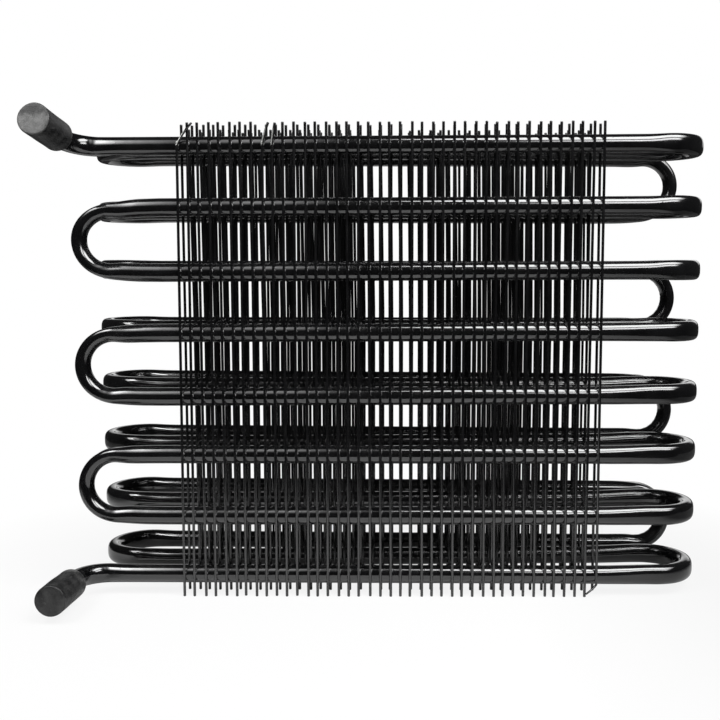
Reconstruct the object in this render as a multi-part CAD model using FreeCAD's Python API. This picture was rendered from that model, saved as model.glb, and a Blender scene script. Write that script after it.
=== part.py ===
# Wire-on-tube condenser: one steel tube laid as a flat serpentine, with steel wires spot-welded across
# both of its sides, and the finished panel folded twice into three banks that stand one behind another.
# Both open ends of the tube turn forward and carry a push-on protective cap.
# Frame: X along the passes of the tube, Y through the three banks with the caps at the front (-Y), Z up.
# The origin is on the floor plane, under the middle of the whole part.
import FreeCAD, Part
import math
import os
from FreeCAD import Placement, Rotation, Vector

# Tube
tube_diameter = 8.0
tube_wall = 0.7
tube_passes = 8                 # horizontal passes in each bank, an even number
left_return_pitch = 27.2        # height between two passes joined by a return bend of the front bank
right_return_pitch = 26.5       # height between two passes joined by a return bend of the rear bank

# Folds that turn the flat panel into three banks
right_fold_radius = 16.0        # centre-line radius of the bends from the front to the middle bank
right_fold_overbend = 2.0       # degrees past a half turn, so that the middle bank leans in
left_fold_radius = 16.4
left_fold_overbend = 3.25

# Bare tube between the outermost wire of a bank and its bends
right_fold_reach = 27.45
left_fold_reach = 25.6
front_return_reach = 29.6
rear_return_reach = 29.2
upper_end_reach = 34.2
lower_end_reach = 33.4

# Wires
wire_diameter = 1.1
wires_per_side = 41
wire_pitch = 4.5
wire_overhang = 9.0             # past the centre line of the top and bottom pass
wire_sides = 8                  # flats round a wire's section, one of them turned to the tube
weld_clearance = 0.02           # between a wire's flat and the crown of the tube
wire_scatter = 0.42             # sideways error of a wire's end, as the welding jig leaves it
wire_length_scatter = 0.35      # how far short a wire may end

# Where each layer of wires came to lie in the jig, from the foremost layer to the rearmost: the front and
# the rear wires of the front bank, then of the middle bank, then of the rear bank
layer_shifts = (0.25, 0.48, 0.24, 0.32, 0.08, 0.0)          # along the bank
layer_leans = (0.13, 0.30, -0.40, -0.26, -0.24, -0.23)      # along the bank, per 100 mm of height
layer_stretches = (0.30, 0.09, -0.38, -0.12, -0.62, -0.03)  # outward, at either end of the row of wires

# Knocked wire ends on the front of the front bank
bend_above_pass = 1.0           # height of a bent top end's kink over the top pass's centre line
bend_below_pass = 3.5           # depth of a bent bottom end's kink under the bottom pass's centre line
left_bend_sideways = 5.6        # how far the first wire's top is pushed over, forward and down
left_bend_forward = 2.2
left_bend_drop = 0.7
right_bend_sideways = -3.0      # the same for the last wire's bottom, which is pushed up
right_bend_forward = 0.8
right_bend_rise = 1.3
first_leaning_wire = 8          # counted from the left, starting at nought
second_leaning_wire = 9
first_lean_sideways = 2.6
second_lean_sideways = 1.35
lean_drop = 0.3

# Tube ends
end_bend_radius = 13.0
upper_end_turn = 87.0           # degrees from along the pass to forward
upper_end_tilt = 9.0            # degrees by which the turned end points upward
upper_end_bare = 0.5            # straight tube between the bend and the cap's mouth
lower_end_turn = 88.0
lower_end_tilt = 1.2
lower_end_bare = 3.3

# Protective caps
cap_length = 25.2
cap_wall = 2.43
cap_end_thickness = 3.0
cap_bore_clearance = 0.05       # round the tube
cap_stop_clearance = 0.3        # between the tube's end and the floor of the bore
cap_edge_round = 0.7
cap_mouth_round = 1.2

# Worked out from the sizes above
tube_radius = tube_diameter / 2
wire_radius = wire_diameter / 2
field_half = wire_pitch * (wires_per_side - 1) / 2
wire_offset = tube_radius + weld_clearance + wire_radius
up = Vector(0, 0, 1)


def pass_heights():
    """Centre-line height of each pass, from the top one down, over the plane of the lower wire tips."""
    heights = [wire_overhang]
    for step in range(tube_passes - 1):
        pitch = right_return_pitch if step % 2 == 0 else left_return_pitch
        heights.append(heights[-1] + pitch)
    return heights[::-1]


heights = pass_heights()
wire_top = heights[0] + wire_overhang


def turned(vector, degrees):
    """The vector turned about the vertical, anticlockwise seen from above."""
    return Rotation(up, degrees).multVec(vector)


class Bank:
    """The straight middle stretch of one bank, seen from above: where it is and which way it runs."""

    def __init__(self, point, along):
        self.along = along
        self.forward = turned(along, -90)
        # the bank's own zero mark is where it crosses the plane through the middle of the wires
        self.zero = point - along * (point.x / along.x)

    def at(self, distance, height, forward=0.0):
        """A point of the bank, at a distance along it, a height and a distance in front of its middle."""
        return self.zero + self.along * distance + self.forward * forward + up * height


def fold_plan():
    """Ends and middles of both folds, and the three banks, all seen from above at height nought."""
    ahead = Vector(1, 0, 0)
    start = Vector(field_half + right_fold_reach, 0, 0)
    right = bend_points(start, ahead, Vector(0, 1, 0), right_fold_radius, 180 + right_fold_overbend)
    middle_heading = turned(ahead, 180 + right_fold_overbend)
    middle_run = (right[2].x + field_half + left_fold_reach) / -middle_heading.x
    left_start = right[2] + middle_heading * middle_run
    toward = turned(middle_heading, -90)
    left = bend_points(left_start, middle_heading, toward, left_fold_radius, 180 + left_fold_overbend)
    rear_heading = turned(middle_heading, -180 - left_fold_overbend)
    banks = (Bank(Vector(0, 0, 0), ahead),
             Bank(right[2], middle_heading * -1),
             Bank(left[2], rear_heading))
    return right, left, banks


def bend_points(start, heading, toward, radius, degrees):
    """Start, middle and end of an arc that leaves start along heading and curls toward its centre."""
    centre = start + toward * radius

    def on_arc(angle):
        return centre + heading * (radius * math.sin(angle)) - toward * (radius * math.cos(angle))

    angle = math.radians(degrees)
    return on_arc(0), on_arc(angle / 2), on_arc(angle)


right_fold, left_fold, banks = fold_plan()
front_bank, middle_bank, rear_bank = banks


def line(start, end):
    return Part.LineSegment(start, end).toShape()


def arc(points):
    return Part.Arc(*points).toShape()


def raised(points, height):
    return [point + up * height for point in points]


def row_edges(left_reach, height):
    """One pass through all three banks, from the left end of the front one to the right end of the rear."""
    near = front_bank.at(-field_half - left_reach, height)
    far = rear_bank.at(field_half + rear_return_reach, height)
    first, second = raised(right_fold, height), raised(left_fold, height)
    return [[near, first[0]], first, [first[2], second[0]], second, [second[2], far]]


def return_bend(bank, side, reach, upper, lower):
    """The half turn that joins two passes at the left (side -1) or right (side 1) end of a bank."""
    radius = (upper - lower) / 2
    end = side * (field_half + reach)
    return [bank.at(end, upper), bank.at(end + side * radius, (upper + lower) / 2), bank.at(end, lower)]


def tube_end(height, reach, turn, tilt, bare):
    """Centre line of a tube end from the pass outward, with the mouth and axis of its cap."""
    start = front_bank.at(-field_half - reach, height)
    lean = math.radians(tilt)
    toward = Vector(0, -math.cos(lean), math.sin(lean))
    heading = Vector(-1, 0, 0)
    bend = bend_points(start, heading, toward, end_bend_radius, turn)
    angle = math.radians(turn)
    axis = heading * math.cos(angle) + toward * math.sin(angle)
    mouth = bend[2] + axis * bare
    inside = cap_length - cap_end_thickness - cap_stop_clearance
    return [bend, [bend[2], mouth + axis * inside]], mouth, axis


upper_tube_end = (heights[0], upper_end_reach, upper_end_turn, upper_end_tilt, upper_end_bare)
lower_tube_end = (heights[-1], lower_end_reach, lower_end_turn, lower_end_tilt, lower_end_bare)


def tube_route():
    """The whole centre line, as lists of two points for a straight and three for an arc."""
    upper_end, _, _ = tube_end(*upper_tube_end)
    lower_end, _, _ = tube_end(*lower_tube_end)
    route = [piece[::-1] for piece in upper_end[::-1]]
    left_reach = {0: upper_end_reach, tube_passes - 1: lower_end_reach}
    for index, height in enumerate(heights):
        row = row_edges(left_reach.get(index, front_return_reach), height)
        if index % 2 == 0:
            route += row
            route.append(return_bend(rear_bank, 1, rear_return_reach, height, heights[index + 1]))
        else:
            route += [piece[::-1] for piece in row[::-1]]
            if index < tube_passes - 1:
                route.append(return_bend(front_bank, -1, front_return_reach, height, heights[index + 1]))
    return route + lower_end


def build_tube():
    """The serpentine: an outer and an inner round section carried along the same centre line."""
    route = tube_route()
    path = Part.Wire([line(*piece) if len(piece) == 2 else arc(piece) for piece in route])
    start = route[0][0]
    heading = route[0][1] - start

    def rod(radius):
        return path.makePipeShell([Part.Wire([Part.makeCircle(radius, start, heading)])], True, False)

    return rod(tube_radius).cut(rod(tube_radius - tube_wall))


def build_cap(place):
    """A moulded cap: a blind round bore, a rounded mouth and a flat closed end with a small edge round."""
    _, mouth, axis = tube_end(*place)
    bore = tube_radius + cap_bore_clearance
    outer = bore + cap_wall
    floor = cap_length - cap_end_thickness
    cos45 = math.sqrt(0.5)

    def spot(radius, depth):
        return Vector(radius, 0, depth)

    def corner(radius, depth, into_depth, size):
        """Quarter round between the cap's side and an end face; into_depth points into the body."""
        middle = spot(radius - size + size * cos45, depth + into_depth * (size - size * cos45))
        return spot(radius - size, depth), middle, spot(radius, depth + into_depth * size)

    lip = corner(outer, 0, 1, cap_mouth_round)
    nose = corner(outer, cap_length, -1, cap_edge_round)[::-1]
    outline = [line(spot(bore, 0), lip[0]), arc(lip), line(lip[2], nose[0]), arc(nose),
               line(nose[2], spot(0, cap_length)), line(spot(0, cap_length), spot(0, floor)),
               line(spot(0, floor), spot(bore, floor)), line(spot(bore, floor), spot(bore, 0))]
    cap = Part.Face(Part.Wire(outline)).revolve(Vector(0, 0, 0), up, 360)
    cap.Placement = Placement(mouth, Rotation(up, axis))
    return cap


def uneven(number):
    """A fixed value between -1 and 1 for each number, with no visible order from one to the next."""
    scrambled = math.sin(number * 12.9898 + 4.1) * 4375.85
    return 2 * (scrambled - math.floor(scrambled)) - 1


def wire_section(centre, bank):
    """Level outline of a wire round its centre, with a flat turned to the tube."""
    corner_radius = wire_radius / math.cos(math.pi / wire_sides)
    points = []
    for side in range(wire_sides):
        angle = (side + 0.5) * 2 * math.pi / wire_sides
        points.append(centre + bank.along * (corner_radius * math.sin(angle))
                      + bank.forward * (corner_radius * math.cos(angle)))
    return points


def slid(points, along, onto, facing):
    """The points moved along a direction until they lie on the plane through onto that faces facing."""
    return [point - along * ((point - onto).dot(facing) / along.dot(facing)) for point in points]


def wire_solid(path, bank):
    """A wire along straight runs: the same outline slid from run to run, with a mitre at each kink."""
    runs = [(after - before).normalize() for before, after in zip(path, path[1:])]
    outline = slid(wire_section(path[0], bank), runs[0], path[0], runs[0])
    rings = [outline]
    for index, corner in enumerate(path[1:]):
        run = runs[index]
        facing = run if corner is path[-1] else (run + runs[index + 1]).normalize()
        outline = slid(outline, run, corner, facing)
        rings.append(outline)
    return Part.makeLoft([Part.makePolygon(ring + ring[:1]) for ring in rings], True, True)


def wire_ends(bank_index, side, index):
    """Lower and upper end of a wire, each as (distance along the bank, height)."""
    seed = 1000 * bank_index + 300 * (side + 1) + 4 * index
    layer = 2 * bank_index + (0 if side > 0 else 1)
    share = index / (wires_per_side - 1)
    place = (2 * share - 1) * (field_half + layer_stretches[layer]) + layer_shifts[layer]
    lean = layer_leans[layer] * wire_top / 200
    low = (place - lean + wire_scatter * uneven(seed), wire_length_scatter * max(0, uneven(seed + 2)))
    high = (place + lean + wire_scatter * uneven(seed + 1),
            wire_top - wire_length_scatter * max(0, uneven(seed + 3)))
    return low, high


def straight_wire(bank_index, side, index):
    """A wire welded to the front (side 1) or the rear (side -1) of every pass of a bank."""
    bank = banks[bank_index]
    low, high = wire_ends(bank_index, side, index)
    return wire_solid([bank.at(*low, side * wire_offset), bank.at(*high, side * wire_offset)], bank)


def bent_wire(index, top, sideways, forward, shortfall):
    """A front wire of the front bank whose top or bottom end is pushed sideways and forward."""
    low, high = wire_ends(0, 1, index)
    kink = heights[0] + bend_above_pass if top else heights[-1] - bend_below_pass
    share = (kink - low[1]) / (high[1] - low[1])
    at_kink = front_bank.at(low[0] + (high[0] - low[0]) * share, kink, wire_offset)
    whole, free = (low, high) if top else (high, low)
    fixed_end = front_bank.at(*whole, wire_offset)
    free_height = free[1] - shortfall if top else free[1] + shortfall
    loose_end = front_bank.at(free[0] + sideways, free_height, wire_offset + forward)
    path = [fixed_end, at_kink, loose_end] if top else [loose_end, at_kink, fixed_end]
    return wire_solid(path, front_bank)


last_wire = wires_per_side - 1
bent_wires = {
    "bent_wire_left": (0, True, left_bend_sideways, left_bend_forward, left_bend_drop),
    "bent_wire_right": (last_wire, False, right_bend_sideways, right_bend_forward, right_bend_rise),
    "leaning_wire_first": (first_leaning_wire, True, first_lean_sideways, 0.0, lean_drop),
    "leaning_wire_second": (second_leaning_wire, True, second_lean_sideways, 0.0, lean_drop),
}


def build_parts():
    """Every piece under its own name; the wires of a bank's side go by thirds."""
    parts = {"condenser_tube": build_tube()}
    parts["upper_end_cap"] = build_cap(upper_tube_end)
    parts["lower_end_cap"] = build_cap(lower_tube_end)
    for name, choice in bent_wires.items():
        parts[name] = bent_wire(*choice)
    already_bent = {choice[0] for choice in bent_wires.values()}
    for bank_index, bank_name in enumerate(("front_bank", "middle_bank", "rear_bank")):
        for side, side_name in ((1, "front_wires"), (-1, "rear_wires")):
            for third, third_name in enumerate(("left", "centre", "right")):
                chosen = range(third * wires_per_side // 3, (third + 1) * wires_per_side // 3)
                wires = [straight_wire(bank_index, side, index) for index in chosen
                         if not (bank_index == 0 and side == 1 and index in already_bent)]
                parts[f"{bank_name}_{side_name}_{third_name}"] = Part.makeCompound(wires)
    return parts


parts = build_parts()
footprint = Part.makeCompound(list(parts.values())).optimalBoundingBox(False, False)
to_origin = Vector(-(footprint.XMin + footprint.XMax) / 2, -(footprint.YMin + footprint.YMax) / 2,
                   -footprint.ZMin)
os.makedirs("parts", exist_ok=True)
for name, shape in parts.items():
    shape.translate(to_origin)
    shape.exportStep(f"parts/{name}.step")
print("origin moved by", to_origin)
print("tube solids", len(parts["condenser_tube"].Solids), "valid", parts["condenser_tube"].isValid(),
      "volume", round(parts["condenser_tube"].Volume, 1))
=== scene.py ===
# Wire-on-tube condenser: a steel tube folded into three standing banks, steel wires welded across both
# sides of every bank, black paint over all of it, and a rubber cap on each open end of the tube.
# Lengths in the sections are in millimetres and become metres when a mesh is made.
import math
import bpy
import numpy as np
from mathutils import Matrix


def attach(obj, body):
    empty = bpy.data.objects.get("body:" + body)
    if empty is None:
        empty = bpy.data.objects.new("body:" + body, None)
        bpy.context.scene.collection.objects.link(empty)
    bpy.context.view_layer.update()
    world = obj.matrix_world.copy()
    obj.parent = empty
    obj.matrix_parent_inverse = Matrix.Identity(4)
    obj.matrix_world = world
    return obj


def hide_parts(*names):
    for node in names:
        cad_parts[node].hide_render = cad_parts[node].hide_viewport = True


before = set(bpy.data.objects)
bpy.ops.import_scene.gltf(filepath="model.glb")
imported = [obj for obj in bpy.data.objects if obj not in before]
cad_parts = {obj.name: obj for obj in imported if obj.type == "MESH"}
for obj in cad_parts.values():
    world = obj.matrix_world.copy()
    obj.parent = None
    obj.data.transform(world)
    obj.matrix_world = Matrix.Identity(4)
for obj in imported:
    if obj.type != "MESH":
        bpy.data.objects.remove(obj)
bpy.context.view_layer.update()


# The serpentine tube.
# One drawn steel tube, bent flat into eight passes, then folded twice into three banks. The bends come
# out of the bending tool a little flattened, and both ends turn forward. The bore is open at each end.
tube_radius = 4.0
bore_radius = 3.3
wire_pitch = 4.5
wires_per_side = 41
wire_overhang = 9.0
field_half = wire_pitch * (wires_per_side - 1) / 2
# Where the middle of the front bank, at the wires' feet, stands in the frame.
panel_origin = np.array([3.7563, -9.9818, 0.0037])
# The steps from pass to pass and the heights of the passes, from the top one down.
steps = np.array([26.5, 27.2, 26.5, 27.2, 26.5, 27.2, 26.5])
heights = wire_overhang + np.concatenate([np.cumsum(steps[::-1])[::-1], [0.0]])
# A reach is how far past the outermost wire a bend starts, and bare the straight tube before a cap.
right_fold = {"radius": 16.0, "sweep": 182.0, "reach": 27.45}
left_fold = {"radius": 16.4, "sweep": 183.25, "reach": 25.6}
front_return_reach = 29.6
rear_return_reach = 29.2
end_bend_radius = 13.0
upper_end = {"reach": 34.2, "turn": 87.0, "tilt": 9.0, "bare": 0.5}
lower_end = {"reach": 33.4, "turn": 88.0, "tilt": 1.2, "bare": 3.3}
cap_floor = 21.9
up = np.array([0.0, 0.0, 1.0])
# How low each pass hangs, from the top one down: at the left of the front bank, in the right fold, in the
# left fold, and at the right of the rear bank. The serpentine isn't quite straight after two foldings.
sag = np.array([[0.75, 0.00, -0.40, 0.90], [0.13, -0.45, 0.15, 1.40], [0.82, -0.10, -0.55, 0.20],
                [0.43, -0.10, 0.25, 0.60], [1.15, 0.30, -0.65, 0.45], [0.10, 0.20, 0.00, 0.90],
                [0.35, 0.20, -0.45, -0.20], [0.00, 0.40, 0.00, 0.20]])


def turned(direction, degrees):
    """A direction turned about the vertical, anticlockwise seen from above."""
    c, s = math.cos(math.radians(degrees)), math.sin(math.radians(degrees))
    x, y, z = direction
    return np.array([c * x - s * y, s * x + c * y, z])


def bend(start, heading, toward, radius, sweep, squeeze):
    """A circular arc of the centre line: it leaves start along heading and curls toward its centre."""
    return {"start": start, "heading": heading, "toward": toward, "radius": radius,
            "sweep": math.radians(sweep), "squeeze": squeeze}


def bend_exit(arc):
    """Where an arc ends and which way it then points."""
    centre = arc["start"] + arc["toward"] * arc["radius"]
    c, s = math.cos(arc["sweep"]), math.sin(arc["sweep"])
    point = centre + arc["radius"] * (arc["heading"] * s - arc["toward"] * c)
    return point, arc["heading"] * c + arc["toward"] * s


def backwards(piece):
    """The same run or arc, followed from its other end."""
    if "radius" in piece:
        point, heading = bend_exit(piece)
        centre = piece["start"] + piece["toward"] * piece["radius"]
        other = bend(point, -heading, (centre - point) / piece["radius"], piece["radius"],
                     math.degrees(piece["sweep"]), piece["squeeze"])
    else:
        other = {"start": piece["end"], "end": piece["start"]}
    other["drop"] = piece["drop"][::-1]
    return other


def placed(piece, height, drop):
    """A copy of a level run or arc at a height, with how far it hangs at its start and at its end."""
    copy = dict(piece, drop=drop)
    for key in ("start", "end"):
        if key in copy:
            copy[key] = copy[key] + up * height
    return copy


# How flat the bending tool presses each kind of bend, as a share of the tube's radius.
fold_squeeze = 0.155
return_squeeze = 0.27
end_squeeze = 0.10
ahead = np.array([1.0, 0.0, 0.0])
fold_one = bend(np.array([field_half + right_fold["reach"], 0.0, 0.0]), ahead, np.array([0.0, 1.0, 0.0]),
                right_fold["radius"], right_fold["sweep"], fold_squeeze)
middle_start, middle_heading = bend_exit(fold_one)
middle_run = (middle_start[0] + field_half + left_fold["reach"]) / -middle_heading[0]
fold_two = bend(middle_start + middle_heading * middle_run, middle_heading, turned(middle_heading, -90),
                left_fold["radius"], left_fold["sweep"], fold_squeeze)
rear_start, rear_heading = bend_exit(fold_two)


def bank_line(point, along):
    """A bank seen from above: its zero mark, the way it runs, and the side that faces forward."""
    zero = point - along * (point[0] / along[0])
    return {"zero": zero, "along": along, "forward": turned(along, -90)}


banks = [bank_line(np.zeros(3), ahead),
         bank_line(middle_start, -middle_heading),
         bank_line(rear_start, rear_heading)]
# How low the passes hang in the middle of each bank, and how much more at its last wire than at its
# first: the wires stand on about three quarters of the length over which the sag changes.
wired_share = 0.76
for bank, at_left, at_right in zip(banks, (0, 2, 2), (1, 1, 3)):
    change = (sag[:, at_right] - sag[:, at_left]) * wired_share
    bank["weld_sag"] = ((sag[:, at_left] + sag[:, at_right]) / 2, change)


def on_bank(bank, distance, height, forward):
    """Points at a distance along a bank, a height, and a distance in front of its middle."""
    distance, height, forward = np.broadcast_arrays(distance, height, forward)
    return (bank["zero"] + distance[..., None] * bank["along"] + forward[..., None] * bank["forward"]
            + height[..., None] * up)


def end_run(height, end):
    """The forward-turned end of the tube: its bend, and the straight stub that the cap goes over."""
    start = on_bank(banks[0], -field_half - end["reach"], height, 0.0)
    tilt = math.radians(end["tilt"])
    toward = np.array([0.0, -math.cos(tilt), math.sin(tilt)])
    arc = bend(start, -ahead, toward, end_bend_radius, end["turn"], end_squeeze)
    point, heading = bend_exit(arc)
    return arc, {"start": point, "end": point + heading * (end["bare"] + cap_floor)}, heading


def return_bend(bank, side, reach, upper, lower):
    """The half turn between two passes, at the left (-1) or right (1) end of a bank, going down."""
    start = on_bank(bank, side * (field_half + reach), upper, 0.0)
    return bend(start, side * bank["along"], -up, (upper - lower) / 2, 180.0, return_squeeze)


def whole_route():
    """The tube's centre line from the upper cap to the lower one, as runs and arcs in order."""
    arc, stub, _ = end_run(heights[0], upper_end)
    route = [backwards(placed(stub, 0, (0, 0))), backwards(placed(arc, 0, (sag[0, 0], 0)))]
    last = len(heights) - 1
    left_reach = {0: upper_end["reach"], last: lower_end["reach"]}
    for row, height in enumerate(heights):
        near = on_bank(banks[0], -field_half - left_reach.get(row, front_return_reach), 0.0, 0.0)
        far = on_bank(banks[2], field_half + rear_return_reach, 0.0, 0.0)
        outer, right, left, inner = sag[row]
        level = [placed({"start": near, "end": fold_one["start"]}, height, (outer, right)),
                 placed(fold_one, height, (right, right)),
                 placed({"start": middle_start, "end": fold_two["start"]}, height, (right, left)),
                 placed(fold_two, height, (left, left)),
                 placed({"start": rear_start, "end": far}, height, (left, inner))]
        if row % 2 == 0:
            route += level
            turn = return_bend(banks[2], 1, rear_return_reach, height, heights[row + 1])
            route.append(placed(turn, 0, (inner, sag[row + 1, 3])))
        else:
            route += [backwards(piece) for piece in level[::-1]]
            if row != last:
                turn = return_bend(banks[0], -1, front_return_reach, height, heights[row + 1])
                route.append(placed(turn, 0, (outer, sag[row + 1, 0])))
    arc, stub, _ = end_run(heights[last], lower_end)
    return route + [placed(arc, 0, (sag[last, 0], 0)), placed(stub, 0, (0, 0))]


def eased(share):
    """0 below 0 and 1 above 1, with a smooth S between them."""
    share = np.clip(share, 0, 1)
    return share * share * (3 - 2 * share)


# How far the upper and the lower pass close in on each other before a return bend: the bank, its side,
# and for each bend the row above it with both distances. They do so over the given stretch.
closing_in = ((0, -1, ((1, 1.7, 0.9), (3, 0.75, 0.7), (5, 0.45, 0.75))),
              (2, 1, ((0, 0.9, 0.6), (2, 0.3, 0.2), (4, 0.2, 0.3), (6, 0.3, 0.6))))
closing_start = 12
closing_stretch = 24
bank_half_depth = 6
# How many half heights from its middle a bend reaches.
bend_extent = 1.25


def closed_in(points):
    """The centre line with its return bends drawn narrower: a point moves toward the middle height of its
    bend, by an amount that eases in from 12 to 36 mm past the outermost wire and, round the bend, goes
    with the height over the middle."""
    points = points.copy()
    for bank_index, side, bends in closing_in:
        bank = banks[bank_index]
        relative = points - bank["zero"]
        past = side * relative @ bank["along"] - field_half
        in_bank = np.abs(relative @ bank["forward"]) < bank_half_depth
        near = eased((past - closing_start) / closing_stretch) * in_bank
        for row, above, below in bends:
            half = (heights[row] - heights[row + 1]) / 2
            over = (relative[:, 2] - heights[row + 1] - half) / half
            amount = near * (np.abs(over) < bend_extent) * np.clip(over, -1, 1)
            points[:, 2] -= amount * np.where(over > 0, above, below)
    return points


run_step = 9.0
arc_step = 4.5
# Stations stand close together on the first and the last stretch of a run, where a bend's squeeze dies
# away over a few millimetres.
close_stretch = 12.0
close_step = 2.0
squeeze_spread = 4.6
# Before the right folds, in the front and the middle bank, the squeeze starts early, over the given
# stretch and up to the given share of its full amount, and the passes below a height rise. Starts are
# measured from the outermost wire.
folded_depths = (-6, 40)
early_start, early_stretch, early_most = 1, 32, 0.8
rise_start, rise_stretch, rise_full = 4, 22, 0.38
rising_below = 110
# Before the left folds the middle bank's passes ease inward.
ease_start, ease_stretch, ease_full = 7, 21, 1.2


def before_folds(points, squeeze):
    """The centre line and its squeeze with what the folding did to the bare stretches before the bends.
    The squeeze grows in a straight line with the distance past the outermost wire, less in the upper
    passes. The rise and the easing inward follow a smooth S over that distance."""
    x, y, z = points.T
    past_right = (x - field_half) * (y < folded_depths[1]) * (y > folded_depths[0])
    early = np.clip((past_right - early_start) / early_stretch, 0, early_most)
    less_above = np.clip((165 - z) / 80, 0.12, 0.95)
    squeeze = np.maximum(squeeze, fold_squeeze * (early * less_above))
    rise = rise_full * eased((past_right - rise_start) / rise_stretch)
    points = points + up * (rise * np.clip((rising_below - z) / 20, 0, 1))[:, None]
    in_middle_bank = np.clip((folded_depths[1] - y) / 14, 0, 1) * (y > 12)
    points[:, 1] += ease_full * in_middle_bank * eased((-x - field_half - ease_start) / ease_stretch)
    return points, squeeze


def follow(route):
    """Stations along the route. Each has a point, two directions across the tube that never twist from
    one station to the next, the inward and sideways directions of the nearest bend, and how much that
    bend squeezes it: all of it in the bend, dying away along the run as a bell curve."""
    across = up
    stations = []
    for place, piece in enumerate(route):
        if "radius" in piece:
            count = max(3, round(math.degrees(piece["sweep"]) / arc_step))
            share = np.arange(count) / count
            angle = share[:, None] * piece["sweep"]
            c, s = np.cos(angle), np.sin(angle)
            heading, toward = piece["heading"], piece["toward"]
            side = np.cross(heading, toward)
            inward = toward * c - heading * s
            tangent = heading * c + toward * s
            points = piece["start"] + toward * piece["radius"] - inward * piece["radius"]
            first = inward * np.dot(across, toward) + side * np.dot(across, side)
            last_inward = toward * math.cos(piece["sweep"]) - heading * math.sin(piece["sweep"])
            across = last_inward * np.dot(across, toward) + side * np.dot(across, side)
            squeeze = np.full(count, piece["squeeze"])
            last_side = side
            side = np.broadcast_to(side, points.shape)
        else:
            span = piece["end"] - piece["start"]
            length = np.linalg.norm(span)
            close = np.arange(0, close_stretch, close_step)
            if length > 2.5 * close_stretch:
                middle = np.linspace(close_stretch, length - close_stretch,
                                     round((length - 2 * close_stretch) / run_step) + 1)
                marks = np.concatenate([close, middle, length - close[:0:-1]])
            else:
                marks = np.linspace(0, length, max(2, round(length / close_step)), endpoint=False)
            share = marks / length
            tangent = np.broadcast_to(span / length, (len(marks), 3))
            points = piece["start"] + span * share[:, None]
            first = np.broadcast_to(across, points.shape)
            if place == len(route) - 1:
                next_inward, next_side = last_inward, last_side
            else:
                next_inward = route[place + 1]["toward"]
                next_side = np.cross(route[place + 1]["heading"], next_inward)
            if place == 0:
                last_inward, last_side = next_inward, next_side
            nearer_last = (share < 0.5)[:, None]
            inward = np.where(nearer_last, last_inward, next_inward)
            side = np.where(nearer_last, last_side, next_side)
            squeeze = np.zeros(len(marks))
        points = points - up * (piece["drop"][0] + (piece["drop"][1] - piece["drop"][0]) * share[:, None])
        stations.append((points, first, np.cross(tangent, first), inward, side, squeeze))
    final = [column[-1:] for column in stations[-1]]
    final[0] = route[-1]["end"][None]
    stations.append(final)
    points, first, second, inward, side, squeeze = [np.concatenate(column) for column in zip(*stations)]
    points = closed_in(points)
    travel = np.concatenate([[0], np.cumsum(np.linalg.norm(np.diff(points, axis=0), axis=1))])
    weight = np.exp(-0.5 * ((travel[:, None] - travel) / squeeze_spread) ** 2) * np.gradient(travel)
    points, squeeze = before_folds(points, weight @ squeeze / weight.sum(1))
    return points, first, second, inward, side, squeeze, travel


tube_sides = 48
# How much a squeezed section widens, how square it becomes, and how strongly the outside of a bend is
# ironed flat. Return bends widen less and are ironed less.
widening, less_widening = 0.6, 0.3
squareness = 1.6
ironing, less_ironing = 4.0, 3.2
# A return bend's section is hardly set outward, except at its front and rear crests.
crest_share, crest_weight = 0.87, 0.9
wrinkle_height = 0.016


def wrinkles(points, travel):
    """How strongly the inside of a bend is wrinkled, along the tube: a wave whose length itself waves,
    with hardly any height at the left or at the top."""
    wave = np.sin(travel * 2.1 + 1.7 * np.sin(travel * 0.31))
    at_right = 0.08 + 0.92 * eased(points[:, 0] / 60)
    low_down = np.clip((200 - points[:, 2]) / 80, 0.1, 1)
    return wave * at_right * low_down


def tube_skin():
    """The tube's painted surface on a grid of stations by angles. A ring is the circle
    cos(a)*first + sin(a)*second; in a bend the distance from the middle at the angle t from the inward
    direction becomes (|cos t / (1 - p)|**n + |sin t / (1 + 0.6 p)|**n)**(-1/n), with p the squeeze and n
    growing from 2 to about 3 on the outside, which the bending tool irons flat; a return bend, squeezed
    harder, stays rounder and narrower. The ring is then set outward, so that the back of a fold keeps its
    line; in a return bend only its front and rear crests are. The inside gets low wrinkles."""
    points, first, second, inward, side, squeeze, travel = follow(whole_route())
    angle = np.linspace(0, 2 * math.pi, tube_sides, endpoint=False)[None, :, None]
    ring = np.cos(angle) * first[:, None] + np.sin(angle) * second[:, None]
    inner, wide = inward[:, None], side[:, None]
    toward_inside = (ring * inner).sum(-1)
    p = squeeze[:, None]
    in_return = np.abs(side[:, 1:2])
    n = 2 + p * (squareness + (ironing - less_ironing * in_return) * eased(0.5 - toward_inside))
    aside = np.abs((ring * wide).sum(-1))
    widened = 1 + (widening - less_widening * in_return) * p
    reach = ((np.abs(toward_inside) / (1 - p)) ** n + (aside / widened) ** n) ** (-1 / n)
    wrinkled = wrinkle_height * wrinkles(points, travel)[:, None] * np.maximum(toward_inside, 0) ** 2
    reach = reach + wrinkled * eased(p / fold_squeeze * 1.4)
    outward = p * (1 + crest_weight * in_return * (aside ** 2 - crest_share))
    return points[:, None] + tube_radius * (ring * reach[..., None] - outward[..., None] * inner), points


def grid_faces(rows, columns):
    """Four-cornered faces of a grid whose columns close on themselves, facing out when the rows run
    along the axis and the columns turn by the right-hand rule about it."""
    r, c = np.meshgrid(np.arange(rows - 1), np.arange(columns), indexing="ij")
    n = (c + 1) % columns
    quad = np.stack([r * columns + c, r * columns + n, (r + 1) * columns + n, (r + 1) * columns + c], -1)
    return quad.reshape(-1, 4)


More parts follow.
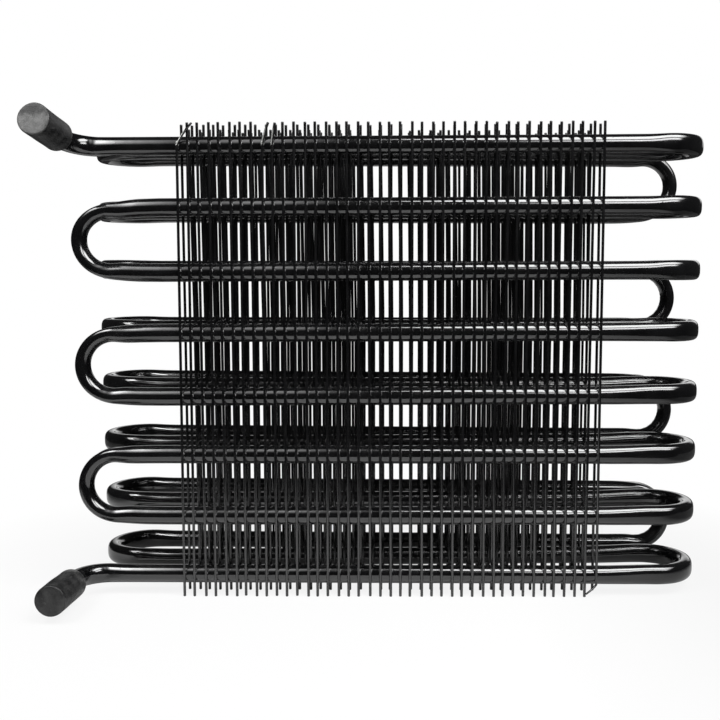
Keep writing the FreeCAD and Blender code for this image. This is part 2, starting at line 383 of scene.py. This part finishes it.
def painted_mesh(name, points, faces, caps=()):
    """A smooth-shaded object from points in millimetres, quads, and any number of closing polygons."""
    mesh = bpy.data.meshes.new(name)
    points = (points.reshape(-1, 3) + panel_origin) * 0.001
    sizes = np.concatenate([np.full(len(faces), 4), [len(cap) for cap in caps]]).astype(np.int32)
    loops = np.concatenate([faces.ravel(), *caps]).astype(np.int32)
    mesh.vertices.add(len(points))
    mesh.vertices.foreach_set("co", points.astype(np.float32).ravel())
    mesh.loops.add(len(loops))
    mesh.loops.foreach_set("vertex_index", loops)
    mesh.polygons.add(len(sizes))
    mesh.polygons.foreach_set("loop_start", np.concatenate([[0], np.cumsum(sizes)[:-1]]).astype(np.int32))
    mesh.polygons.foreach_set("use_smooth", np.ones(len(sizes), bool))
    mesh.update(calc_edges=True)
    mesh.validate()
    piece = bpy.data.objects.new(name, mesh)
    bpy.context.scene.collection.objects.link(piece)
    return piece


def mark_points(piece, name, values):
    """A value at every point of a piece, for the shader to read by its name."""
    layer = piece.data.attributes.new(name, "FLOAT", "POINT")
    layer.data.foreach_set("value", values.ravel().astype(np.float32))


def node(tree, kind, inputs=None, **settings):
    """A shader node with its settings and input values."""
    made = tree.nodes.new(kind)
    for key, value in settings.items():
        setattr(made, key, value)
    for key, value in (inputs or {}).items():
        made.inputs[key].default_value = value
    return made


def ramp(tree, value, low, high, low_to, high_to, **settings):
    """A shader value with low..high spread over low_to..high_to, and held at those beyond."""
    spread = node(tree, "ShaderNodeMapRange", {"From Min": low, "From Max": high, "To Min": low_to,
                                               "To Max": high_to}, **settings)
    tree.links.new(value, spread.inputs["Value"])
    return spread.outputs["Result"]


def combined(tree, operation, first, second):
    """What an operation such as MULTIPLY or SUBTRACT makes of two shader values."""
    made = node(tree, "ShaderNodeMath", operation=operation)
    tree.links.new(first, made.inputs[0])
    tree.links.new(second, made.inputs[1])
    return made.outputs[0]


def noise(tree, place, scale, detail, low, high, low_to, high_to):
    """Cloudy variation over the surface, with its values from low to high spread over low_to..high_to."""
    cloud = node(tree, "ShaderNodeTexNoise", {"Scale": scale, "Detail": detail, "Roughness": 0.55})
    tree.links.new(place, cloud.inputs["Vector"])
    return ramp(tree, cloud.outputs["Fac"], low, high, low_to, high_to)


paint_body = (0.0014, 0.0014, 0.0016, 1), (0.0040, 0.0040, 0.0043, 1)
# Pale paint where a knocked wire's paint cracked; it also serves as a painted highlight.
crazed_and_highlight_colour = (0.62, 0.62, 0.60, 1)
nib_height = 0.00003


def gloss_paint(name, body_roughness, ripple):
    """Dipped and baked black enamel: a near-black body under a thin clear film, slightly cloudy, with the
    faint ripple of paint that has run, and here and there a nib of dirt under the film. Where a point
    attribute is 1, the paint is painted pale: cracked paint, and a painted highlight on a knocked wire's
    lit side."""
    material = bpy.data.materials.new(name)
    material.use_nodes = True
    tree = material.node_tree
    shader = tree.nodes["Principled BSDF"]
    place = node(tree, "ShaderNodeTexCoord").outputs["Object"]
    shade = node(tree, "ShaderNodeMix", data_type="RGBA")
    shade.inputs[6].default_value, shade.inputs[7].default_value = paint_body
    tree.links.new(noise(tree, place, 60, 4, 0.35, 0.65, 0, 1), shade.inputs[0])
    tree.links.new(noise(tree, place, 180, 3, 0.3, 0.7, body_roughness - 0.05, body_roughness + 0.07),
                   shader.inputs["Roughness"])
    waves = node(tree, "ShaderNodeBump", {"Strength": 1.0, "Distance": ripple})
    tree.links.new(noise(tree, place, 170, 1, 0.2, 0.8, 0, 1), waves.inputs["Height"])
    cells = node(tree, "ShaderNodeTexVoronoi", {"Scale": 240.0})
    tree.links.new(place, cells.inputs["Vector"])
    nibs = node(tree, "ShaderNodeBump", {"Strength": 1.0, "Distance": nib_height})
    tree.links.new(ramp(tree, cells.outputs["Distance"], 0.0, 0.10, 1.0, 0.0), nibs.inputs["Height"])
    tree.links.new(waves.outputs["Normal"], nibs.inputs["Normal"])
    tree.links.new(nibs.outputs["Normal"], shader.inputs["Normal"])
    tree.links.new(nibs.outputs["Normal"], shader.inputs["Coat Normal"])
    # Painted highlight: the pale mix below is cracked paint and also a highlight painted on the knocked
    # wires.
    crazing_and_highlight = node(tree, "ShaderNodeAttribute", attribute_name="crazing_and_highlight").outputs["Fac"]
    bare = node(tree, "ShaderNodeMix", data_type="RGBA")
    bare.inputs[7].default_value = crazed_and_highlight_colour
    speckled = combined(tree, "MULTIPLY", crazing_and_highlight, noise(tree, place, 900, 2, 0.25, 0.5, 0.3, 1))
    tree.links.new(speckled, bare.inputs[0])
    tree.links.new(shade.outputs[2], bare.inputs[6])
    tree.links.new(bare.outputs[2], shader.inputs["Base Color"])
    shader.inputs["Coat Weight"].default_value = 1.0
    shader.inputs["Coat Roughness"].default_value = 0.06
    shader.inputs["Coat IOR"].default_value = 1.5
    return material


open_bore = 9.0


def bore(ring, inward):
    """The turned-in end of the tube: the wall's flat edge, then a stretch of the bore, drawn inward."""
    middle = ring.mean(0)
    narrow = middle + (ring - middle) * (bore_radius / tube_radius)
    return np.stack([narrow, narrow + inward / np.linalg.norm(inward) * open_bore])


skin, centre_line = tube_skin()
start_bore = bore(skin[0], centre_line[1] - centre_line[0])[::-1]
end_bore = bore(skin[-1], centre_line[-2] - centre_line[-1])
whole = np.concatenate([start_bore, skin, end_bore])
start_plug = np.arange(tube_sides)[::-1]
end_plug = np.arange(tube_sides) + (len(whole) - 1) * tube_sides
tube_faces = grid_faces(len(whole), tube_sides)
painted_tube = painted_mesh("painted_tube", whole, tube_faces, [start_plug, end_plug])
painted_tube.data.materials.append(gloss_paint("black_tube_paint", 0.15, 0.00002))
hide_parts("condenser_tube")
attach(painted_tube, "root")


# The welded wires.
# Steel wire cut to length and spot-welded across every pass, 41 to a side, under the same paint, which
# fills the corner at each weld. The cut ends stand past the outer passes and aren't all equally long.
wire_radius = 0.55
paint_film = 0.06
weld_clearance = 0.02
wire_offset = tube_radius + weld_clearance + wire_radius
wire_top = heights[0] + wire_overhang
wire_sides = 12
# A wire's last end_round draws in to end_share of its thickness.
end_round = 0.16
end_share = 0.72
ring_distance = 0.4
# How far a wire's ends stray from their even places, and by how much the wire can be short at either end.
stray = 0.42
shortness = 0.35
# How each layer of wires lies in its bank, from the foremost layer to the rearmost: shifted along the
# bank, leaning by so much per 100 mm of height, stretched outward at either end of the row, and bowed
# along the bank, most of all at the given share of the height.
layer_places = ((0.25, 0.13, 0.30, 0.0), (0.48, 0.30, 0.09, 0.15), (0.24, -0.40, -0.38, 0.50),
                (0.32, -0.26, -0.12, 0.41), (0.08, -0.24, -0.62, 0.78), (0.0, -0.23, -0.03, 0.26))
bow_share = 0.6


def uneven(number):
    """A fixed value between -1 and 1 for each number, with no visible order from one to the next: what a
    large multiple of a sine has after the point, times 2, less 1."""
    scrambled = np.sin(number * 12.9898 + 4.1) * 4375.85
    return 2 * (scrambled - np.floor(scrambled)) - 1


def wire_ends(bank_index, side, index):
    """Distances along the bank and heights of the lower and the upper end of each wire, and the bow of
    its layer. A wire's place is its share of the row's width; its ends lean to either side of it by half
    of the lean, and stray by an uneven amount. Every wire has four numbers of its own, from seed on."""
    seed = 1000 * bank_index + 300 * (side + 1) + 4 * index
    shift, lean, stretch, bow = layer_places[2 * bank_index + (0 if side > 0 else 1)]
    share = index / (wires_per_side - 1)
    place = (2 * share - 1) * (field_half + stretch) + shift
    lean = lean * wire_top / 200
    low = place - lean + stray * uneven(seed), shortness * np.maximum(0, uneven(seed + 2))
    high = place + lean + stray * uneven(seed + 1), wire_top - shortness * np.maximum(0, uneven(seed + 3))
    return low, high, bow


def wire_tubes(paths, bank):
    """Round wires along straight runs. paths is wires x corners x 3. A ring is a level circle slid along
    its run to the mitre at a corner. The last 0.16 mm at both ends draws in a little, and one more ring
    stands 0.4 mm from every end and corner, so that the long sides shade as straight ones."""
    runs = np.diff(paths, axis=1)
    length = np.linalg.norm(runs, axis=-1, keepdims=True)
    runs /= length
    corners = [runs[:, i] + runs[:, i + 1] for i in range(runs.shape[1] - 1)]
    mitres = [runs[:, 0], *corners, runs[:, -1]]
    centres, arrive, facing = [paths[:, 0]], [runs[:, 0]], [runs[:, 0]]
    for i in range(runs.shape[1]):
        run = runs[:, i]
        marks = [ring_distance, length[:, i] - ring_distance]
        if i == 0:
            marks.insert(0, end_round)
        if i == runs.shape[1] - 1:
            marks.append(length[:, i] - end_round)
        for mark in marks:
            centres.append(paths[:, i] + run * mark)
            arrive.append(run)
            facing.append(run)
        centres.append(paths[:, i + 1])
        arrive.append(run)
        facing.append(mitres[i + 1])
    centres, arrive, facing = (np.stack(rows, 1) for rows in (centres, arrive, facing))
    drawn_in = np.ones(centres.shape[1])
    drawn_in[[0, -1]] = end_share
    angle = np.linspace(0, 2 * math.pi, wire_sides, endpoint=False)[:, None]
    circle = np.cos(angle) * bank["along"] - np.sin(angle) * bank["forward"]
    ring = (wire_radius + paint_film) * circle[None, None] * drawn_in[None, :, None, None]
    slide = (ring * facing[:, :, None]).sum(-1) / (arrive * facing).sum(-1)[..., None]
    return centres[:, :, None] + ring - slide[..., None] * arrive[:, :, None]


# A fillet's half width and half height where it leaves the tube and where it meets the wire, how deep it
# is sunk in each, at which shares of the way its rings stand, and how hollow it is between.
fillet_foot = (0.98, 2.05)
fillet_top = (0.46, 1.45)
sunk_in_tube, sunk_in_wire = 0.03, 0.06
fillet_rings = np.array([0.0, 0.38, 0.72, 1.0])
fillet_hollow = 2.4
fillet_sides = 14


def weld_fillets(low, high, bow, bank, side):
    """Paint drawn into the corner round each weld. The foot is an ellipse on the tube, 0.98 mm to each
    side and 2.05 mm up and down; from there the skin rises to the wire along a hollow curve, as v**2.4,
    with v the share of the way. The welds of a bowed wire lie where its two straight halves cross the
    passes."""
    drop = bank["weld_sag"][0] + low[0][:, None] / (2 * field_half) * bank["weld_sag"][1]
    welds = heights - drop
    share = (welds - low[1][:, None]) / (high[1] - low[1])[:, None]
    place = low[0][:, None] + (high[0] - low[0])[:, None] * share
    place += bow * np.minimum(share / bow_share, (1 - share) / (1 - bow_share))
    turn = np.linspace(0, 2 * math.pi, fillet_sides, endpoint=False)
    v = fillet_rings[:, None]
    sideways = ((1 - v) * fillet_foot[0] + v * fillet_top[0]) * np.cos(turn)
    rise = ((1 - v) * fillet_foot[1] + v * fillet_top[1]) * np.sin(turn)
    foot = np.sqrt(tube_radius ** 2 - rise ** 2) - sunk_in_tube
    back_of_wire = wire_offset - np.sqrt(wire_radius ** 2 - (fillet_top[0] * np.cos(turn)) ** 2)
    out = foot + (back_of_wire + sunk_in_wire - foot) * v ** fillet_hollow
    along = place[:, :, None, None] + sideways
    height = welds[:, :, None, None] + rise
    points = on_bank(bank, along, height, side * np.broadcast_to(out, along.shape))
    return points.reshape(-1, len(fillet_rings), fillet_sides, 3)


def repeated_faces(count, rows, columns, offset, inside_out):
    """Faces of many equal grids of points, the first of which starts at offset, each with a polygon that
    closes its first and its last row. With inside_out every face is turned over."""
    one = grid_faces(rows, columns)
    ring = np.arange(columns)
    closing = [ring[::-1], ring + (rows - 1) * columns]
    if inside_out:
        one = one[:, ::-1]
        closing = [polygon[::-1] for polygon in closing]
    starts = offset + rows * columns * np.arange(count)
    quads = (one[None] + starts[:, None, None]).reshape(-1, 4)
    return quads, [polygon + start for start in starts for polygon in closing]


wire_paint = gloss_paint("black_wire_paint", 0.20, 0.000012)


def painted_wires(name, paths, bank, side, ends, replaced):
    """One piece: the given wires with their weld fillets."""
    tubes = wire_tubes(paths, bank)
    fillets = weld_fillets(*ends, bank, side)
    faces, caps = repeated_faces(*tubes.shape[:3], 0, False)
    more_faces, more_caps = repeated_faces(*fillets.shape[:3], tubes.size // 3, side > 0)
    points = np.concatenate([tubes.reshape(-1, 3), fillets.reshape(-1, 3)])
    piece = painted_mesh(name, points, np.concatenate([faces, more_faces]), caps + more_caps)
    piece.data.materials.append(wire_paint)
    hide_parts(replaced)
    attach(piece, "root")
    return piece


knocked = {0: "bent_wire_left", 40: "bent_wire_right", 8: "leaning_wire_first", 9: "leaning_wire_second"}
for bank_index, bank_name in enumerate(("front_bank", "middle_bank", "rear_bank")):
    for side, side_name in ((1, "front_wires"), (-1, "rear_wires")):
        for third, third_name in enumerate(("left", "centre", "right")):
            chosen = np.arange(third * wires_per_side // 3, (third + 1) * wires_per_side // 3)
            if bank_index == 0 and side == 1:
                chosen = chosen[~np.isin(chosen, list(knocked))]
            bank = banks[bank_index]
            low, high, bow = wire_ends(bank_index, side, chosen)
            place, height = [a + (b - a) * bow_share for a, b in zip(low, high)]
            paths = np.stack([on_bank(bank, *low, side * wire_offset),
                              on_bank(bank, place + bow, height, side * wire_offset),
                              on_bank(bank, *high, side * wire_offset)], 1)
            node_name = f"{bank_name}_{side_name}_{third_name}"
            painted_wires("painted_" + node_name, paths, bank, side, (low, high, bow), node_name)


# The four knocked wires.
# In handling, the first wire's top and the last wire's bottom were bent over, and the tops of two wires
# near the left were pushed aside. Each bends over just past the outermost weld, where its paint cracked.
# On three of them the left side of the wire is painted pale just above the bend: cracked paint, and a
# painted highlight too.
bend_above_pass = -0.8
bend_below_pass = 3.5
# For each wire: whether its top was knocked, how far that end went sideways and forward and how much it
# falls short, how high above the pass the pale mark of cracked paint and painted highlight reaches, and
# how strongly it shows.
knocks = {0: (True, 6.8, 2.2, 0.7, 6.0, 1.0), 40: (False, -4.6, 0.8, 1.4, 0, 0),
          8: (True, 2.6, 0.0, 0.3, 7.0, 0.6), 9: (True, 1.35, 0.0, 0.3, 7.0, 0.5)}
# The corners of the curved end, and how much of the turn it has made at once at the bend.
curve_shares = (0.14, 0.30, 0.50, 0.74)
turned_at_once = 0.62
# The cracked paint and painted highlight begin a little below the bend, come in over a short length and
# fade over a longer one. They are painted on the left side of the wire, the side that would catch the
# light.
mark_below, mark_start, mark_fade = 0.1, 0.5, 2.5
for index, (top, sideways, forward, shortfall, pale, craze_and_highlight) in knocks.items():
    low, high, bow = wire_ends(0, 1, np.array([index]))
    kink = heights[0] + bend_above_pass if top else heights[-1] - bend_below_pass
    share = (kink - low[1]) / (high[1] - low[1])
    at_kink = on_bank(banks[0], low[0] + (high[0] - low[0]) * share, kink, wire_offset)
    whole_end, free = (low, high) if top else (high, low)
    fixed_end = on_bank(banks[0], *whole_end, wire_offset)
    free_height = free[1] - shortfall if top else free[1] + shortfall
    loose_end = on_bank(banks[0], free[0] + sideways, free_height, wire_offset + forward)
    knocked_part = loose_end - at_kink
    along_wire = (at_kink - fixed_end) / np.linalg.norm(at_kink - fixed_end)
    straight = along_wire * (knocked_part * along_wire).sum(-1, keepdims=True)
    aside = knocked_part - straight
    curve = [at_kink + straight * s + aside * (turned_at_once * s + (1 - turned_at_once) * s * s)
             for s in curve_shares]
    corners = [fixed_end, at_kink, *curve, loose_end]
    piece = painted_wires("painted_" + knocked[index], np.stack(corners if top else corners[::-1], 1),
                          banks[0], 1, (low, high, bow), knocked[index])
    spots = np.empty(len(piece.data.vertices) * 3, np.float32)
    piece.data.vertices.foreach_get("co", spots)
    above_pass = spots[2::3] * 1000 - panel_origin[2] - heights[0]
    past_bend = eased((above_pass - bend_above_pass + mark_below) / mark_start)
    crazing_and_highlight_band = past_bend * eased((pale - above_pass) / mark_fade)
    # Painted highlight: the mark is laid on the left side of the wire, where it would catch the light.
    round_wire = np.arange(len(above_pass)) * 2 * math.pi / wire_sides
    lit_left_side = eased((0.1 - np.cos(round_wire)) / 0.5)
    mark_points(piece, "crazing_and_highlight", craze_and_highlight * crazing_and_highlight_band * lit_left_side)


# The two end caps.
# Moulded or cut from soft grey-black rubber and pushed over the open tube ends to keep dirt out. The
# rubber is matte and mottled, its closed end is flat, and the lip is rounded over by handling.
cap_radius = 6.48
cap_length = 25.2
cap_bore = 4.05
cap_depth = 22.2
lip_round, nose_round = 1.2, 0.7
cap_sides = 48
lump_height = 0.06
dish_depth = 0.10
# The line on the closed end, above its middle, beyond which the pale film is thin, and how thin; and how
# far from the lip the cap is rubbed. The pale film is partly dirt and partly painted light: it lightens
# the upper cap's closed end as if lit.
pale_line, pale_beyond = 2.2, 0.22
rubbed_depth = 7


def cap_profile():
    """Radius and depth along the cap's outline: up the bore, round the lip, along the side, round the
    nose and in to the middle of the closed end."""
    lip = np.linspace(-math.pi / 2, 0, 7)
    nose = np.linspace(0, math.pi / 2, 6)
    outline = [(0.0, cap_depth), (cap_bore, cap_depth), (cap_bore, 0.3), (cap_bore + 0.3, 0.0)]
    outline += [(cap_radius - lip_round + lip_round * math.cos(a), lip_round + lip_round * math.sin(a))
                for a in lip]
    outline += [(cap_radius, d) for d in np.linspace(2.5, cap_length - 2.0, 14)]
    outline += [(cap_radius - nose_round + nose_round * math.cos(a),
                 cap_length - nose_round + nose_round * math.sin(a)) for a in nose]
    outline += [(r, cap_length) for r in (4.6, 3.6, 2.4, 1.2, 0.0)]
    return np.array(outline)


def cap_skin(mouth, axis, seed):
    """The outline turned about the axis, on a grid of outline points by angles. The outside is a little
    lumpy: its radius varies by a sum of three slow waves over angle and depth. The closed end dips in
    by up to a tenth of a millimetre, along a wave across it."""
    side = np.cross(axis, up)
    side /= np.linalg.norm(side)
    other = np.cross(axis, side)
    profile = cap_profile()
    radius, depth = profile[:, 0, None], profile[:, 1, None]
    angle = np.linspace(0, 2 * math.pi, cap_sides, endpoint=False)[None]
    lumps = (np.sin(2 * angle + seed) * np.cos(depth * 0.22 + seed)
             + 0.6 * np.sin(3 * angle + 0.31 * depth)
             + 0.4 * np.sin(5 * angle - 0.45 * depth + 2 * seed))
    outside = eased((radius - cap_bore - 0.5) / 1.5)
    radius = radius + lump_height * lumps * outside
    dish = dish_depth * np.sin(1.3 * radius * np.cos(angle + seed)) * (depth > cap_length - 0.4)
    return (mouth + axis * (depth - np.abs(dish))[..., None]
            + radius[..., None] * (np.cos(angle)[..., None] * side + np.sin(angle)[..., None] * other))


def cap_dirt_and_painted_light(offset, axis, dirt_and_painted_light, rubbed):
    """How pale a cap is painted at each point, offset being measured from the middle of its mouth. The
    pale film lies on the closed end, in full up to a wavy line above its middle and thinly beyond; it is
    partly dirt and partly painted light. Near the lip the cap is rubbed in bands, which follow a wave."""
    x, y, z = np.moveaxis(offset, -1, 0)
    depth = offset @ axis
    on_nose = eased((depth - cap_length + 0.6) / 0.4)
    line = pale_line + 0.5 * np.sin(x * 1.1) + 0.3 * np.sin(x * 2.7 + 1)
    below_line = eased((line - z + axis[2] * cap_length) / 1.2)
    pale_and_lit = on_nose * (pale_beyond + (1 - pale_beyond) * below_line)
    bands = eased((rubbed_depth - depth) / 4) * eased(np.sin(z * 1.3 + y * 0.5) * 2)
    return dirt_and_painted_light * pale_and_lit + rubbed * bands


def cap_rubber():
    """Matte rubber: near-black with cloudy grey patches and a faintly pebbled surface. Where a point
    attribute is
    1 it is painted pale, partly dirt and partly painted light, and here and there it has a light scuff."""
    material = bpy.data.materials.new("grey_cap_rubber")
    material.use_nodes = True
    tree = material.node_tree
    shader = tree.nodes["Principled BSDF"]
    place = node(tree, "ShaderNodeTexCoord").outputs["Object"]
    shade = node(tree, "ShaderNodeMix", data_type="RGBA")
    shade.inputs[6].default_value = (0.003, 0.003, 0.0033, 1)
    shade.inputs[7].default_value = (0.026, 0.026, 0.026, 1)
    tree.links.new(noise(tree, place, 210, 5, 0.42, 0.64, 0, 1), shade.inputs[0])
    # Painted light: this pale mix lightens the closed ends, the upper one most, as if lit; part of it is
    # dirt.
    pale_and_lit = node(tree, "ShaderNodeMix", data_type="RGBA")
    pale_and_lit.inputs[7].default_value = (0.105, 0.105, 0.104, 1)
    dirty_and_lit = node(tree, "ShaderNodeAttribute", attribute_name="dirty_and_lit").outputs["Fac"]
    cloudy = combined(tree, "MULTIPLY", dirty_and_lit, noise(tree, place, 330, 6, 0.3, 0.6, 0.45, 1))
    tree.links.new(cloudy, pale_and_lit.inputs[0])
    tree.links.new(shade.outputs[2], pale_and_lit.inputs[6])
    scuffed = node(tree, "ShaderNodeMix", data_type="RGBA")
    scuffed.inputs[7].default_value = (0.13, 0.13, 0.13, 1)
    drawn = node(tree, "ShaderNodeMapping", {"Scale": (1.0, 0.25, 1.6)})
    tree.links.new(place, drawn.inputs["Vector"])
    tree.links.new(noise(tree, drawn.outputs["Vector"], 260, 4, 0.66, 0.78, 0, 0.7), scuffed.inputs[0])
    tree.links.new(pale_and_lit.outputs[2], scuffed.inputs[6])
    tree.links.new(scuffed.outputs[2], shader.inputs["Base Color"])
    shader.inputs["Specular IOR Level"].default_value = 0.35
    tree.links.new(noise(tree, place, 420, 3, 0.3, 0.7, 0.42, 0.60), shader.inputs["Roughness"])
    pebble = node(tree, "ShaderNodeBump", {"Strength": 1.0, "Distance": 0.00006})
    tree.links.new(noise(tree, place, 900, 4, 0.25, 0.75, 0, 1), pebble.inputs["Height"])
    tree.links.new(pebble.outputs["Normal"], shader.inputs["Normal"])
    return material


rubber = cap_rubber()
# For each cap: name, height, end, seed, how much pale film its closed end gets (on the upper cap chiefly
# painted light, for the light its end catches), and how rubbed it is.
for name, height, end, seed, dirt_and_painted_light, rubbed in (("upper_end_cap", heights[0], upper_end, 0.7, 1.0, 0.12),
                                              ("lower_end_cap", heights[-1], lower_end, 2.9, 0.12, 0.7)):
    _, stub, axis = end_run(height, end)
    mouth = stub["start"] + axis * end["bare"]
    skin = cap_skin(mouth, axis, seed)
    cap = painted_mesh("rubber_" + name, skin, grid_faces(len(skin), cap_sides)[:, ::-1])
    mark_points(cap, "dirty_and_lit", cap_dirt_and_painted_light(skin - mouth, axis, dirt_and_painted_light, rubbed))
    cap.data.materials.append(rubber)
    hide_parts(name)
    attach(cap, "root")


# The table under the condenser.
# A plain pale top that ends a hand's width in front of it, so the tubes mirror a light band low down
# and a dark room above it. Toward its right and left its colour darkens, as painted shade. To the camera
# it is the white background, with the shadow still on it.
table = bpy.data.meshes.new("pale_table")
table.from_pydata([(-0.50, -0.161, 0), (0.50, -0.161, 0), (0.50, 0.75, 0), (-0.50, 0.75, 0)], [],
                  [(0, 1, 2, 3)])
pale_table = bpy.data.objects.new("pale_table", table)
bpy.context.scene.collection.objects.link(pale_table)
table_top = bpy.data.materials.new("pale_table_top")
table_top.use_nodes = True
tree = table_top.node_tree
tree.nodes.clear()
ray = node(tree, "ShaderNodeLightPath")
card = node(tree, "ShaderNodeBsdfDiffuse")
glow = node(tree, "ShaderNodeEmission", {"Color": (1, 1, 1, 1), "Strength": 1.0})
blend = node(tree, "ShaderNodeMixShader")
place = node(tree, "ShaderNodeTexCoord").outputs["Object"]
away = node(tree, "ShaderNodeVectorMath", operation="LENGTH")
tree.links.new(place, away.inputs[0])
# Near the part the camera sees the top a little darker.
whiter = ramp(tree, away.outputs["Value"], 0.15, 0.25, 0.87, 1.0)
# Painted shade: the top's colour darkens to the right and to the left, standing in for shade there. The
# tubes mirror it, and near the part the camera sees a trace of it.
across = node(tree, "ShaderNodeSeparateXYZ")
tree.links.new(place, across.inputs[0])
painted_shade_right = ramp(tree, across.outputs["X"], 0.06, 0.22, 0.55, 0.06)
painted_shade_left = ramp(tree, across.outputs["X"], -0.21, -0.30, 1.0, 0.2)
tree.links.new(combined(tree, "MULTIPLY", painted_shade_right, painted_shade_left), card.inputs["Color"])
surface = node(tree, "ShaderNodeOutputMaterial")
tree.links.new(combined(tree, "MULTIPLY", ray.outputs["Is Camera Ray"], whiter), blend.inputs[0])
tree.links.new(card.outputs[0], blend.inputs[1])
tree.links.new(glow.outputs[0], blend.inputs[2])
tree.links.new(blend.outputs[0], surface.inputs["Surface"])
table.materials.append(table_top)


# The studio.
# White behind, a dark room in front, two soft boxes high on the right, one above the other, and three
# side by side on the left, of which the one nearest the middle is the weakest. Each fades out toward its
# sides, as cloth-fronted boxes do. Boxes that overlap stand millimetres apart, so that both are mirrored.
world = bpy.data.worlds.new("studio")
bpy.context.scene.world = world
world.use_nodes = True
tree = world.node_tree
tree.nodes.clear()
ray = node(tree, "ShaderNodeLightPath")
direction = node(tree, "ShaderNodeTexCoord").outputs["Generated"]
parts = node(tree, "ShaderNodeSeparateXYZ")
tree.links.new(direction, parts.inputs[0])
# The lit part of the wall behind: along each axis, the direction at which it is dark and at which it is
# lit in full.
level = None
for axis, edge, full in (("Y", 0.70, 0.82), ("Z", 0.38, 0.26), ("Z", 0.08, 0.14), ("X", -0.40, -0.20)):
    light = ramp(tree, parts.outputs[axis], edge, full, 0.02, 1.0)
    level = light if level is None else combined(tree, "MINIMUM", level, light)
# The paint mirrors that wall, the camera sees plain white, and all else gets an even dim light.
mirrored = node(tree, "ShaderNodeMix", {2: 0.35}, data_type="FLOAT")
tree.links.new(ray.outputs["Is Glossy Ray"], mirrored.inputs[0])
tree.links.new(level, mirrored.inputs[3])
seen = node(tree, "ShaderNodeMix", {3: 1.0}, data_type="FLOAT")
tree.links.new(ray.outputs["Is Camera Ray"], seen.inputs[0])
tree.links.new(mirrored.outputs[0], seen.inputs[2])
sky = node(tree, "ShaderNodeBackground", {"Color": (1, 1, 1, 1)})
tree.links.new(seen.outputs[0], sky.inputs["Strength"])
out = node(tree, "ShaderNodeOutputWorld")
tree.links.new(sky.outputs[0], out.inputs["Surface"])


def soft_box(name, centre, aim, width, height, brightness, fade, pointed=0.0):
    """A rectangular lamp at centre (millimetres) turned to face aim. brightness is its radiance where it
    is full, and fade the shares of its width and height over which it dies away at the left, the right,
    the bottom and the top. Over the share pointed of its width the left end narrows to a point. It isn't
    seen by the camera."""
    lamp = bpy.data.lights.new(name, "AREA")
    lamp.shape = "RECTANGLE"
    lamp.size, lamp.size_y = width * 0.001, height * 0.001
    lamp.energy = brightness * math.pi * lamp.size * lamp.size_y
    lamp.use_nodes = True
    tree = lamp.node_tree
    place = node(tree, "ShaderNodeSeparateXYZ")
    tree.links.new(node(tree, "ShaderNodeNewGeometry").outputs["Parametric"], place.inputs[0])
    level = None
    for axis, edge, share in zip("XXYY", (0, 1, 0, 1), fade):
        full = abs(edge - max(share, 0.001))
        light = ramp(tree, place.outputs[axis], edge, full, 0.0, 1.0, interpolation_type="SMOOTHSTEP")
        level = light if level is None else combined(tree, "MULTIPLY", level, light)
    if pointed:
        off_middle = node(tree, "ShaderNodeMath", operation="ABSOLUTE")
        inside = node(tree, "ShaderNodeMath", {1: 1 / pointed}, operation="MULTIPLY")
        tree.links.new(ramp(tree, place.outputs["Y"], 0.0, 1.0, -1.0, 1.0), off_middle.inputs[0])
        tree.links.new(place.outputs["X"], inside.inputs[0])
        room = combined(tree, "SUBTRACT", inside.outputs[0], off_middle.outputs[0])
        light = ramp(tree, room, -0.05, 0.25, 0.0, 1.0, interpolation_type="SMOOTHSTEP")
        level = combined(tree, "MULTIPLY", level, light)
    tree.links.new(level, tree.nodes["Emission"].inputs["Strength"])
    box = bpy.data.objects.new(name, lamp)
    bpy.context.scene.collection.objects.link(box)
    centre, aim = np.array(centre, float), np.array(aim, float)
    back = (centre - aim) / np.linalg.norm(centre - aim)
    side = np.cross(up, back)
    side /= np.linalg.norm(side)
    box.matrix_world = Matrix(np.block([
        [np.stack([side, np.cross(back, side), back], 1), (centre * 0.001)[:, None]],
        [np.zeros((1, 3)), np.ones((1, 1))]]).tolist())
    box.visible_camera = False


soft_box("upper_right_box", centre=(425, -250, 650), aim=(425, -10, 100), width=900, height=335,
         brightness=11.6, fade=(0.04, 0.5, 0.1, 0.1), pointed=0.168)
soft_box("lower_right_box", centre=(447, -492, 457), aim=(447, -10, 114), width=705, height=150,
         brightness=11.0, fade=(0.17, 0.4, 0, 0))
soft_box("left_near_box", centre=(-240, -262, 455), aim=(-240, -10, 100), width=220, height=420,
         brightness=6.8, fade=(0.1, 0.68, 0.65, 0.2))
soft_box("left_far_box", centre=(-342, -265, 460), aim=(-342, -10, 100), width=275, height=420,
         brightness=9.0, fade=(0.12, 0.24, 0.65, 0.2))
soft_box("left_card", centre=(-98, -259, 451), aim=(-98, -10, 100), width=135, height=420,
         brightness=2.4, fade=(0.4, 0.55, 0.65, 0.2))


# The camera.
# It stands in front, a little left of the middle and above half height, and looks slightly down.
camera = bpy.data.cameras.new("camera")
camera.sensor_width = 36.0
camera.lens = 50.24
camera.shift_x = -0.0433
camera.shift_y = 0.00278
camera.clip_start = 0.01
camera.clip_end = 10.0
viewer = bpy.data.objects.new("camera", camera)
bpy.context.scene.collection.objects.link(viewer)
yaw, pitch, roll = math.radians(0.63), math.radians(5.58), math.radians(-0.08)
look = np.array([-math.sin(yaw) * math.cos(pitch), math.cos(yaw) * math.cos(pitch), -math.sin(pitch)])
right = np.array([math.cos(yaw), math.sin(yaw), 0.0])
over = np.cross(right, look)
right, over = (right * math.cos(roll) + over * math.sin(roll),
               over * math.cos(roll) - right * math.sin(roll))
stand = np.array([9.24, -445.04, 145.85]) * 0.001
viewer.matrix_world = Matrix(np.block([[np.stack([right, over, -look], 1), stand[:, None]],
                                       [np.zeros((1, 3)), np.ones((1, 1))]]).tolist())
bpy.context.scene.camera = viewer

bpy.context.scene.view_settings.view_transform = "Standard"
